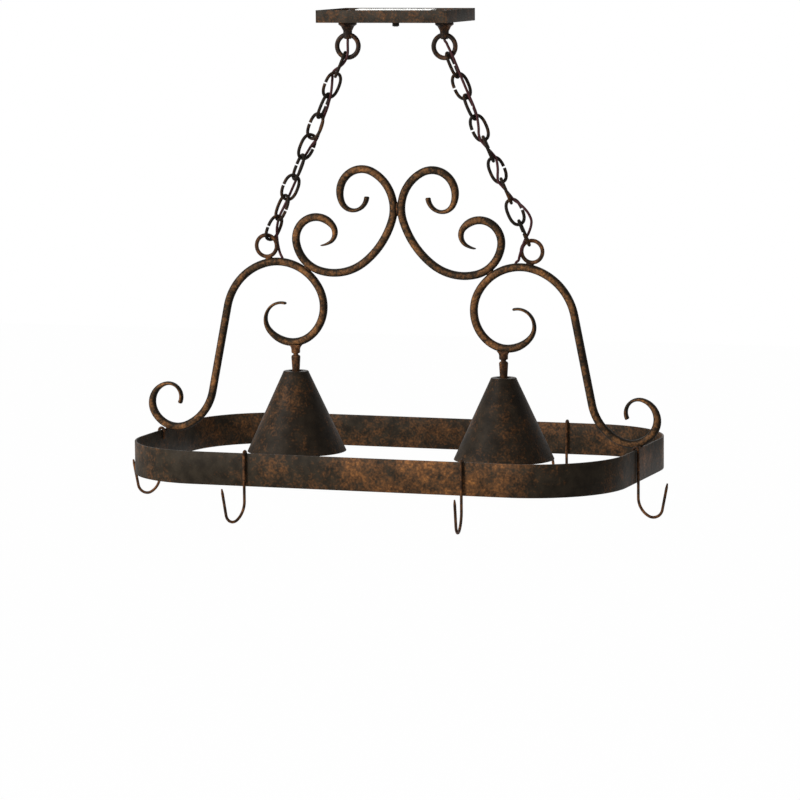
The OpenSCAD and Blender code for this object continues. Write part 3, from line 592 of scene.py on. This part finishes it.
# X and Y on the ring, the direction in which the shank stands off the band, and how far the
# bowl is turned from that
HOOKS = {"front_left_hook": (-0.167, -RING_W / 2 + RING_T / 2, -90, -26),
         "front_right_hook": (0.185, -RING_W / 2 + RING_T / 2, -90, 6),
         "back_left_hook": (-0.227, RING_W / 2 - RING_T / 2, -90, -10),
         "back_right_hook": (0.203, RING_W / 2 - RING_T / 2, -90, -12),
         "left_end_hook": (-RING_L / 2 + RING_T / 2, -0.020, 180, 0),
         "right_end_hook": (RING_L / 2 - RING_T / 2, -0.038, 0, 0)}


def hook(name, x, y, yaw, turn):
    lip = route((-BEND_R, -BEND_DROP - LIP_L), 90, [(LIP_L, 0), (BEND_R, -180)], step=12)[0]
    bowl = route((0, 0), -90, [(WIDE_R, WIDE_SWEEP), (TIGHT_R, TIGHT_SWEEP), (END_L, 0)], step=5)[0]
    swing = math.radians(turn)
    flat = [(u, 0.0, z) for u, z in lip]
    flat += [(BEND_R + u * math.cos(swing), u * math.sin(swing), SHANK_END + z) for u, z in bowl]
    placed = Matrix.Translation((x, y, RING_Z)) @ Matrix.Rotation(math.radians(yaw), 4, "Z")
    points = [tuple(placed @ Vector(p)) for p in flat]
    along = distances(points)
    ends = [min(1.0, min(run, along[-1] - run) / TIP_ROUND) for run in along]
    radii = [HOOK_D / 2 * (0.55 + 0.45 * end) for end in ends]
    piece = bar(name + "_wire", points, radii, copper_bronze, sides=14)
    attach(piece, name + "_body")
    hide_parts(name)


for name, place in HOOKS.items():
    hook(name, *place)
print("hooks:", len(HOOKS))

# %% [markdown]
# ## The lamp wires
# A maroon wire leaves each ceiling loop, winds through the links and goes into the top of the
# side scroll. On the real rack it bends wherever the chain does. Each wire is cut into
# stretches that meet end to end. A stretch with no body to bend towards rides on its own body,
# and the others stay fixed where they are made.

# %% The wires' routes, in millimetres
# How far down the chain each point is, how far to the right of it, and how far behind it
ROUTES = {
    "left": [(-4, -1.5, -1), (3, 2.5, -3), (9, 6, -5.5), (15, 7.5, -6.5), (22, 7, -6),
             (28, 5, -4), (35, 1, -1.5), (42, -4.5, 1.5), (49, -7, 2), (58, -3.5, 1), (67, 0, 0),
             (76, 3.5, -2), (84.5, 6, -3.5), (93, 6.5, -2), (102, 7, 0), (111, 6.5, 2.5),
             (120, 6, 4.5), (129, 7, 4), (138, 8, 3), (147, 9, 4), (156, 9.5, 2.5), (164, 7, 2),
             (173, 4, 5), (182, 2, 7), (191, 0.5, 7.5), (209, 1, 7), (226, 2, 7), (244, 1.5, 7),
             (262, 1, 7), (279, 0, 7), (297, -1, 7), (306, 1, 5.5), (314, 3.5, 4), (321, 6.5, 4),
             (328, 9.5, 5), (336, 14, 5.5), (344, 20, 5), (349, 25.5, 3)],
    "right": [(-4, 5.5, -1), (3, 6.5, -3.5), (9, 7.5, -5.5), (16, 8, -6.5), (24, 8, -6),
              (36, 7.5, -5), (49, 7, -4.5), (67, 7, -5), (85, 7, -5), (102, 7, -4.5), (111, 6, -4.5),
              (120, 5.5, -4.5), (129, 3.5, -5.5), (138, 1, -6.5), (147, -2.5, -7), (156, -3.5, -6.5),
              (164, -1.5, -6), (173, 1.5, -5.5), (182, 4.5, -4), (191, 6.5, -3), (200, 5.5, -4.5),
              (209, 3, -6), (218, -1, -7), (226, -3.5, -7), (235, -1, -6), (244, 2, -5.5),
              (253, 4.5, -4), (262, 7, -3.5), (270, 12.5, -4), (280, 17.5, -4.5), (291, 20.5, -4.5),
              (301, 20.5, -4.5), (308, 17.5, -5), (314, 12.5, -5), (319, 7, -4.5), (323, 1.5, -5),
              (328, -4, -5.5), (337, -12.5, -6.5), (345, -20, -5), (350, -25, -2)]}
# X, Y and Z, on the right side
CANOPY_ROUTE = [(47, 27, -12.4), (55, 27, -12), (62, 26, -10.5), (69, 22, -8), (75, 16, -5.5),
                (78, 10, -4), (80, 5, -3.5), (80, 1.5, -4.5), (80, 0, -8), (80, 0, -20),
                (80, 0, -32), (80, 0, -47)]

# %% [markdown]
# Each stretch below has its name, where it starts and ends along the chain, the body it rides
# on, the body it bends towards, and where along the chain it bends, in metres. The pivot at
# the right eye is left open in the motion model, so the right wire has no joint to bend across
# there: it is cut in two, and each half rides on its own body.

# %% The stretches of a wire
STRETCHES = [("over_loop", -0.040, 0.028, "root", "top_link", -0.004, 0.022),
             ("upper", 0.028, 0.067, "top_link", "chain", 0.034, 0.064),
             ("along", 0.067, 0.279, "chain", None, 0, 0),
             ("lower", 0.279, 0.314, "chain", "end_link", 0.282, 0.312)]
LAST = {"left": [("past_eye", 0.314, 0.400, "end_link", "frame", 0.319, 0.346)],
        "right": [("past_eye", 0.314, 0.338, "end_link", None, 0, 0),
                  ("into_scroll", 0.338, 0.400, "frame", None, 0, 0)]}
# Points that each step of a route is divided into
EASE = 5


def eased(points, count=EASE):
    """A smooth curve through the points (Catmull-Rom)."""
    out = []
    for i in range(len(points) - 1):
        a, b = Vector(points[max(i - 1, 0)]), Vector(points[i])
        c, d = Vector(points[i + 1]), Vector(points[min(i + 2, len(points) - 1)])
        for k in range(count):
            t = k / count
            out.append(0.5 * ((2 * b) + (c - a) * t + (2 * a - 5 * b + 4 * c - d) * t * t
                              + (3 * b - a - 3 * c + d) * t ** 3))
    out.append(Vector(points[-1]))
    return [tuple(p) for p in out]


def along_chain(side, point):
    """How far down the chain a point lies."""
    lean = side * CHAIN_LEAN
    return (point[0] - side * LOOP_X) * math.sin(lean) - (point[2] - LOOP_Z) * math.cos(lean)


def first_past(reach, far):
    """The first point below the canopy that is at least this far down the chain."""
    return next(i for i, run in enumerate(reach) if run >= far and i > EASE * len(CANOPY_ROUTE))


# %% [markdown]
# A wire goes into its scroll by a small hole a few degrees inside the arch's top. All points
# are joined by one smooth curve first and cut into stretches after, so two stretches share
# the point where they meet and no seam shows.

# %% Thread the wires
ENTRY_TURN = math.radians(5.7)
ENTRY = (ARCH[0] - ARCH_R * math.sin(ENTRY_TURN), RING_Z + ARCH[1] + ARCH_R * math.cos(ENTRY_TURN))

for side, word in ((-1, "left"), (1, "right")):
    chosen = [on_chain(side, a / 1000, b / 1000, c / 1000) for a, b, c in ROUTES[word]]
    chosen += [(side * (ENTRY[0] + 0.001), 0.0, ENTRY[1] + SIDE_D / 2 + 0.0015),
               (side * (ENTRY[0] - 0.001), 0.0, ENTRY[1] + 0.003)]
    smooth = eased([(side * x / 1000, y / 1000, z / 1000) for x, y, z in CANOPY_ROUTE] + chosen)
    reach = [along_chain(side, p) for p in smooth]
    for label, start, end, body, next_body, bend_start, bend_end in STRETCHES + LAST[word]:
        low = 0 if body == "root" else first_past(reach, start)
        high = len(smooth) - 1 if "frame" in (body, next_body) else first_past(reach, end)
        points = smooth[low:high + 1]
        piece = bar(f"{word}_lamp_wire_{label}", points, [WIRE_D / 2] * len(points), maroon,
                    sides=12)
        first = body if body in ("root", "frame") else f"{word}_{body}"
        if next_body:
            on_chain(side, bend_start)
            on_chain(side, bend_end)
            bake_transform(piece)
        else:
            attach(piece, first)
        if label == "along":
            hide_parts(f"{word}_lamp_wire")
print("wire stretches:", 2 * len(STRETCHES) + sum(len(parts) for parts in LAST.values()))

# %% [markdown]
# ## Weld beads
# The scrolls are welded to the ring, to each other and to the eyes. A bead is a small lump,
# flattened against what it joins and never quite even, so each is a ball that is stretched
# and then pushed about by noise. The noise is fixed by the bead's own place.

# %% A bead
def bead(name, place, sizes, lean=0.0):
    """A lump with these half sizes, leaned about Y, shaken by noise."""
    shape = bmesh.new()
    bmesh.ops.create_icosphere(shape, subdivisions=4, radius=1.0)
    turn = Matrix.Rotation(lean, 3, "Y")
    for point in shape.verts:
        rough = 1 + 0.22 * noise.noise(point.co * 1.7 + Vector(place) * 90)
        local = Vector([part * half for part, half in zip(point.co, sizes)]) * rough
        point.co = Vector(place) + turn @ local
    mesh = bpy.data.meshes.new(name)
    shape.to_mesh(mesh)
    shape.free()
    mesh.shade_smooth()
    mesh.materials.append(copper_bronze)
    piece = bpy.data.objects.new(name, mesh)
    bpy.context.scene.collection.objects.link(piece)
    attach(piece, "frame")


# %% [markdown]
# The eye stands on the arch and the top scroll leans against it, so both beads lie on the
# arch's outer face, in the direction of the eye's middle and of the top scroll's arc.

# %% Lay the beads where the bars touch
# Half sizes of the beads, and how far out the scrolls' feet stand on the ring
EYE_BEAD, FOOT_BEAD = (0.0060, 0.0042, 0.0026), (0.0034, 0.0048, 0.0022)
SCROLL_BEAD, MIDDLE_BEAD = (0.0024, 0.0040, 0.0070), (0.0024, 0.0040, 0.0110)
FOOT_X = 0.3955
# The run of the top scroll that leans on the arch
TOUCH_RUN = 3
top_joints = route(WELD, -90, TOP_DOWN)[1]
touching = middle_of(top_joints[TOUCH_RUN], TOP_DOWN[TOUCH_RUN])
touch_turn = math.atan2(touching[0] - ARCH[0], touching[1] - ARCH[1])
seat_turn = math.atan2(EYE_X - ARCH[0], EYE_Z - RING_Z - ARCH[1])
arch_face = ARCH_R + SIDE_D / 2


def on_arch(side, turn):
    """A point on the outer face of the arch, turned from its top."""
    return (side * (ARCH[0] + arch_face * math.sin(turn)), 0,
            RING_Z + ARCH[1] + arch_face * math.cos(turn))


for side, word in ((-1, "left"), (1, "right")):
    bead(f"{word}_eye_bead", on_arch(side, seat_turn), EYE_BEAD, side * seat_turn)
    bead(f"{word}_scroll_bead", on_arch(side, touch_turn), SCROLL_BEAD,
         side * (touch_turn + math.pi / 2))
    bead(f"{word}_foot_bead", (side * FOOT_X, 0, RING_Z + 0.0002), FOOT_BEAD)
bead("middle_bead", (0, 0, RING_Z + WELD[1]), MIDDLE_BEAD)
print("beads: 7, degrees from the arch's top:", round(math.degrees(touch_turn), 1),
      round(math.degrees(seat_turn), 1))

# %% [markdown]
# ## Sheet and flat bar
# The canopy and the ring are exact already, but a real edge is never perfectly sharp: it
# catches the light. A copy of the CAD mesh gets a bevel of less than a millimetre. Its loose
# triangles are merged first, or the bevel would find no edges.

# %% Soften the edges of cut and folded metal
def soften(node, body, material, width, segments=2):
    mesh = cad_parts[node].data.copy()
    shape = bmesh.new()
    shape.from_mesh(mesh)
    bmesh.ops.remove_doubles(shape, verts=shape.verts, dist=1e-6)
    bmesh.ops.dissolve_limit(shape, angle_limit=math.radians(0.5), verts=shape.verts,
                             edges=shape.edges)
    shape.to_mesh(mesh)
    shape.free()
    mesh.materials.clear()
    mesh.materials.append(material)
    mesh.shade_smooth()
    piece = bpy.data.objects.new(node + "_soft", mesh)
    bpy.context.scene.collection.objects.link(piece)
    edge = piece.modifiers.new("Soft edges", "BEVEL")
    edge.width, edge.segments, edge.limit_method = width, segments, "ANGLE"
    edge.angle_limit, edge.harden_normals = math.radians(40), True
    bpy.context.view_layer.update()
    seen = piece.evaluated_get(bpy.context.evaluated_depsgraph_get())
    done = bpy.data.meshes.new_from_object(seen)
    piece.modifiers.clear()
    piece.data = done
    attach(piece, body)
    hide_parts(node)


soften("canopy", "root", canopy_bronze, 0.0009, 3)
soften("ring_band", "frame", band_bronze, 0.0005)
print("softened: canopy, ring")

# %% [markdown]
# ## Finishes for the exact pieces
# Loops, eyes, shades, stems, sockets, lamps and the hidden fixing keep their CAD solids, whose
# turned surfaces are already right. Each gets its finish on the material slots of its object.

# %% Paint the CAD nodes
PAINT = {"loop": loop_bronze, "eye": copper_bronze, "collar": copper_bronze, "stem": copper_bronze,
         "shade": shade_bronze, "socket": porcelain, "bulb": frosted, "swivel_liner": nylon,
         "stem_wire": maroon}
painted = {"mounting_strap": zinc, "support_bar": zinc, "centre_stud": zinc, "loop_nuts": zinc,
           "centre_nut": canopy_bronze, "wire_connectors": grey_plastic}
for word in ("left", "right"):
    painted.update({f"{word}_{piece}": material for piece, material in PAINT.items()})
for node, material in painted.items():
    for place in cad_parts[node].material_slots:
        place.material = material
print("painted:", len(painted))

# %% [markdown]
# ## Floor, light and camera
# The photograph has a plain white ground and soft studio light, stronger from the left. The
# white comes from what the camera sees, not from more light on the metal: the world is white
# to camera, glossy and transmission rays and dimmer to all others.

# %% White floor
FLOOR_Z, FLOOR_HALF = -1.9, 12.0
# How far the floor's own light hides its shaded colour, so that a faint shadow is left
FLOOR_GLOW = 0.99
WHITE_RAYS = ("Is Camera Ray", "Is Glossy Ray", "Is Transmission Ray")
corners = [(-FLOOR_HALF, -FLOOR_HALF, FLOOR_Z), (FLOOR_HALF, -FLOOR_HALF, FLOOR_Z),
           (FLOOR_HALF, FLOOR_HALF, FLOOR_Z), (-FLOOR_HALF, FLOOR_HALF, FLOOR_Z)]
floor_mesh = bpy.data.meshes.new("floor")
floor_mesh.from_pydata(corners, [], [(0, 1, 2, 3)])
floor = bpy.data.objects.new("floor", floor_mesh)
bpy.context.scene.collection.objects.link(floor)
ground = Finish("White floor", roughness=0.8)
ground.surface.inputs["Base Color"].default_value = colour(0.9, 0.9, 0.9)
seen = [ground.add("ShaderNodeLightPath", {}, output=ray) for ray in WHITE_RAYS]
glow = ground.add("ShaderNodeEmission", {"Color": colour(1, 1, 1), "Strength": 1.0})
share = (seen[0] + seen[1] + seen[2]).math("MINIMUM", 1.0) * FLOOR_GLOW
mixed = ground.nodes.new("ShaderNodeMixShader")
ground.links.new(share.socket, mixed.inputs[0])
ground.links.new(ground.surface.outputs[0], mixed.inputs[1])
ground.links.new(glow.socket, mixed.inputs[2])
ground.links.new(mixed.outputs[0], ground.output.inputs["Surface"])
floor_mesh.materials.append(ground.material)
print("floor at", FLOOR_Z)

# %% [markdown]
# The world is chosen by ray as well. A ray that the camera, a gloss or glass sends sees pure
# white, and a ray that only brings light sees a dim grey, so the metal keeps its dark brown.

# %% World light
WORLD_LIGHT = 0.20
world = bpy.data.worlds.new("Studio")
bpy.context.scene.world = world
world.use_nodes = True
sky, wires = world.node_tree.nodes, world.node_tree.links
sky.clear()


def larger(first, second):
    node = sky.new("ShaderNodeMath")
    node.operation = "MAXIMUM"
    wires.new(first, node.inputs[0])
    wires.new(second, node.inputs[1])
    return node.outputs[0]


rays = sky.new("ShaderNodeLightPath").outputs
seen_white = larger(larger(rays[WHITE_RAYS[0]], rays[WHITE_RAYS[1]]), rays[WHITE_RAYS[2]])
strength = sky.new("ShaderNodeMapRange")
strength.inputs["To Min"].default_value = WORLD_LIGHT
strength.inputs["To Max"].default_value = 1.0
wires.new(seen_white, strength.inputs["Value"])
backdrop, world_out = sky.new("ShaderNodeBackground"), sky.new("ShaderNodeOutputWorld")
backdrop.inputs["Color"].default_value = colour(1, 1, 1)
wires.new(strength.outputs[0], backdrop.inputs["Strength"])
wires.new(backdrop.outputs[0], world_out.inputs["Surface"])
print("world light:", WORLD_LIGHT)

# %% [markdown]
# Three square lamps do the rest. The key stands in front to the left, as in the photograph,
# the fill lifts the right side a little, and the rim draws a thin line on the back edges.

# %% Soft lamps
RACK_MIDDLE = (0, 0, -0.45)


def soft_lamp(name, place, size, power):
    data = bpy.data.lights.new(name, "AREA")
    data.size, data.energy = size, power
    lamp = bpy.data.objects.new(name, data)
    lamp.location = place
    aim = Vector(RACK_MIDDLE) - Vector(place)
    lamp.rotation_euler = aim.to_track_quat("-Z", "Y").to_euler()
    bpy.context.scene.collection.objects.link(lamp)


soft_lamp("key_from_left", (-2.7, -3.1, 1.1), 1.3, 215)
soft_lamp("fill_from_front", (1.2, -4.6, 0.9), 1.2, 14)
soft_lamp("rim_from_behind", (-1.2, 2.8, 1.2), 1.4, 25)
print("lamps: 3")

# %% [markdown]
# The camera is far off with a long lens, to the right of the middle and a little above. Its
# place, its three angles and its lens were found together from the ring, canopy and hooks of
# the photograph.

# %% Camera
FOCAL_LENGTH, SENSOR = 177.2, 36.0
CAMERA_AT = (2.0753, -5.7951, 0.1622)
YAW, PITCH, ROLL = 19.69, 7.18, -0.51
view_scene = bpy.context.scene
view_scene.view_settings.view_transform = "Standard"
lens = bpy.data.cameras.new("camera")
lens.lens, lens.sensor_width, lens.clip_end = FOCAL_LENGTH, SENSOR, 60.0
camera = bpy.data.objects.new("camera", lens)
view_scene.collection.objects.link(camera)
yaw, pitch, roll = (math.radians(turn) for turn in (YAW, PITCH, ROLL))
ahead = Vector((-math.sin(yaw) * math.cos(pitch), math.cos(yaw) * math.cos(pitch),
                -math.sin(pitch)))
level = Vector((math.cos(yaw), math.sin(yaw), 0))
upward = level.cross(ahead)
right = level * math.cos(roll) + upward * math.sin(roll)
above = upward * math.cos(roll) - level * math.sin(roll)
turned_to = Matrix((right, above, -ahead)).transposed().to_4x4()
camera.matrix_world = Matrix.Translation(CAMERA_AT) @ turned_to
view_scene.camera = camera
print("camera", [round(v, 3) for v in camera.location])
